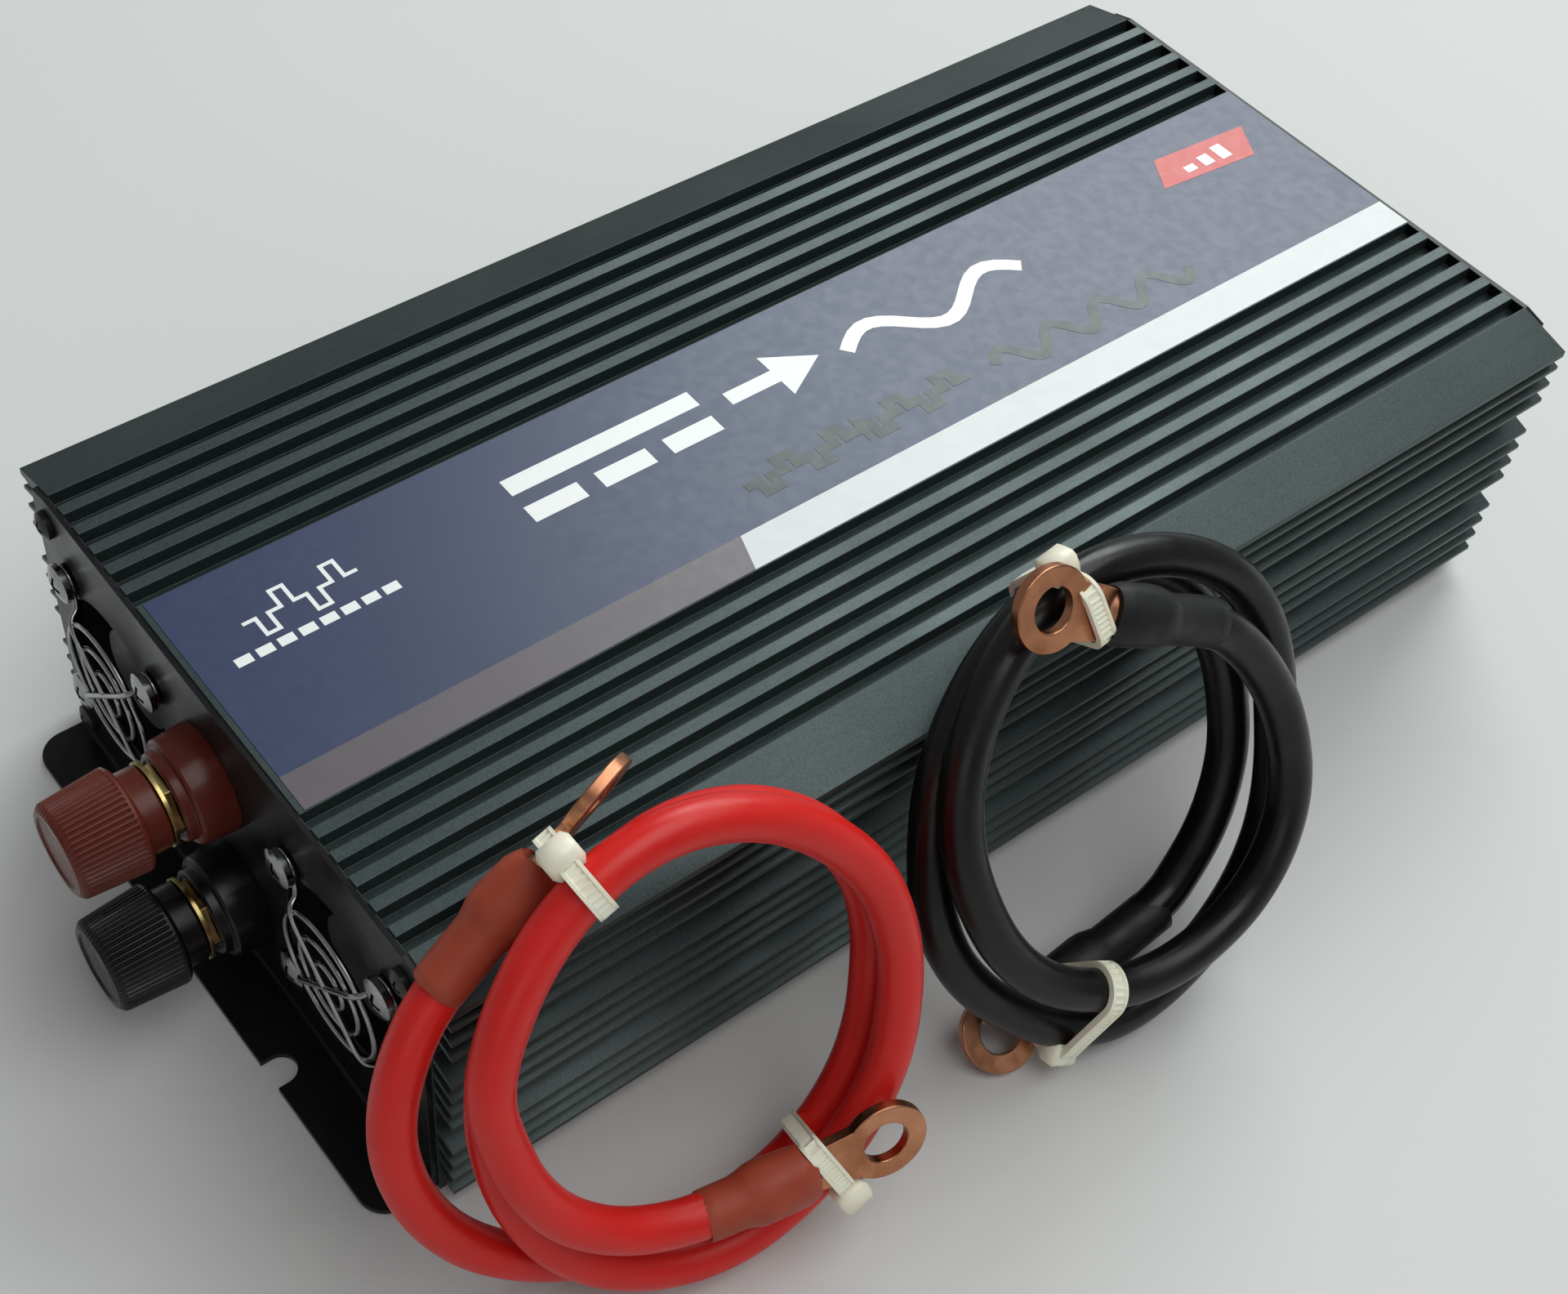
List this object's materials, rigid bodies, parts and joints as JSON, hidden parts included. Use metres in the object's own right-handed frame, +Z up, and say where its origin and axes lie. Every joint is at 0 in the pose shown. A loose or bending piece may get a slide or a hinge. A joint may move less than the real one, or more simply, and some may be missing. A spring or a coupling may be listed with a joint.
{
  "type": "power inverter",
  "caption": "Car power inverter: finned aluminium case with fans, binding posts, mains outlets and two coiled battery leads.",
  "frame": {"origin": "centre of the case's underside, on the surface it stands on", "axes": "+Z up; -X towards the battery end with its fans and posts, +X towards the mains end, -Y the side where the leads lean"},
  "size_m": [0.3214, 0.2028, 0.1074],
  "materials": {
    "housing_finish": "satin anodised, extrusion grain",
    "panel_gloss_black": "gloss",
    "black_screw": "semi-gloss",
    "label_print": "satin film",
    "black_plastic": "satin",
    "polished_steel": "polished",
    "zinc_steel": "satin",
    "red_moulding": "semi-gloss",
    "black_moulding": "semi-gloss",
    "brass_parts": "satin",
    "copper_parts": "satin",
    "lamp_lens": "gloss",
    "board_green": "satin",
    "ferrite": "matte",
    "component_black": "satin",
    "fuse_body": "gloss",
    "red_cable": "satin",
    "black_cable": "satin",
    "red_shrink": "matte",
    "black_shrink": "matte",
    "nylon": "satin"
  },
  "bodies": {
    "housing": {"top_shell": "housing_finish", "base_plate": "housing_finish", "battery_panel": "panel_gloss_black", "mains_panel": "panel_gloss_black", "end_panel_screws": "black_screw", "base_screws": "black_screw", "outlet_screws": "black_screw", "top_label": "label_print", "fan_frame_near": "black_plastic", "fan_frame_far": "black_plastic", "outlet_near": "black_plastic", "outlet_far": "black_plastic", "rocker_frame": "black_plastic", "post_inner_bushes": "black_plastic", "fan_guard_near": "polished_steel", "fan_guard_far": "polished_steel", "fan_screws": "polished_steel", "fan_nuts": "zinc_steel", "board_standoffs": "zinc_steel", "board_screws": "zinc_steel", "transistor_clamps": "zinc_steel", "red_post_base": "red_moulding", "black_post_base": "black_moulding", "red_post_stud": "brass_parts", "black_post_stud": "brass_parts", "post_nuts": "brass_parts", "outlet_contacts": "brass_parts", "positive_strap": "copper_parts", "negative_strap": "copper_parts", "transformer_winding_a": "copper_parts", "transformer_winding_b": "copper_parts", "indicator_lamps": "lamp_lens", "main_board": "board_green", "control_board": "board_green", "transformer_core_a": "ferrite", "transformer_core_b": "ferrite", "input_capacitors": "component_black", "output_capacitor": "component_black", "power_transistors": "component_black", "blade_fuses": "fuse_body"},
    "near_fan_rotor": {"fan_rotor_near": "black_plastic"},
    "far_fan_rotor": {"fan_rotor_far": "black_plastic"},
    "red_washer": {"red_post_washer": "brass_parts"},
    "red_knob": {"red_post_knob": "red_moulding"},
    "black_washer": {"black_post_washer": "brass_parts"},
    "black_knob": {"black_post_knob": "black_moulding"},
    "rocker": {"rocker_paddle": "red_moulding"},
    "red_lead": {"red_lead_upper_lug": "copper_parts", "red_lead_lower_lug": "copper_parts", "red_lead_coil": "red_cable", "red_lead_upper_sleeve": "red_shrink", "red_lead_lower_sleeve": "red_shrink", "red_lead_ties": "nylon"},
    "black_lead": {"black_lead_upper_lug": "copper_parts", "black_lead_lower_lug": "copper_parts", "black_lead_coil": "black_cable", "black_lead_upper_sleeve": "black_shrink", "black_lead_lower_sleeve": "black_shrink", "black_lead_ties": "nylon"}
  },
  "joints": [
    {"name": "near_fan_spin", "type": "hinge", "parent": "housing", "child": "near_fan_rotor", "pos_m": [-0.1285, -0.0396, 0.038], "axis": [-1, 0, 0], "continuous": true},
    {"name": "far_fan_spin", "type": "hinge", "parent": "housing", "child": "far_fan_rotor", "pos_m": [-0.1285, 0.0396, 0.038], "axis": [-1, 0, 0], "continuous": true},
    {"name": "red_washer_slide", "type": "slide", "parent": "housing", "child": "red_washer", "axis": [-1, 0, 0], "range_m": [-0.0001, 0.008]},
    {"name": "red_knob_turn", "type": "hinge", "parent": "red_washer", "child": "red_knob", "pos_m": [-0.16, 0.0038, 0.0492], "axis": [-1, 0, 0], "range_deg": [-29, 2305]},
    {"name": "black_washer_slide", "type": "slide", "parent": "housing", "child": "black_washer", "axis": [-1, 0, 0], "range_m": [-0.0001, 0.008]},
    {"name": "black_knob_turn", "type": "hinge", "parent": "black_washer", "child": "black_knob", "pos_m": [-0.16, -0.0028, 0.0212], "axis": [-1, 0, 0], "range_deg": [-29, 2305]},
    {"name": "rocker_tilt", "type": "hinge", "parent": "housing", "child": "rocker", "pos_m": [0.1397, 0.047, 0.04], "axis": [0, 1, 0], "range_deg": [0, 18]},
    {"name": "red_lead_lift", "type": "slide", "parent": "housing", "child": "red_lead", "axis": [0, 0, 1], "range_m": [0, 0.12]},
    {"name": "black_lead_lift", "type": "slide", "parent": "housing", "child": "black_lead", "axis": [0, 0, 1], "range_m": [0, 0.12]}
  ],
  "couplings": [
    {"joint": "red_knob_turn", "follows": "red_washer_slide", "rad_per_m": 5026.5},
    {"joint": "black_knob_turn", "follows": "black_washer_slide", "rad_per_m": 5026.5}
  ]
}
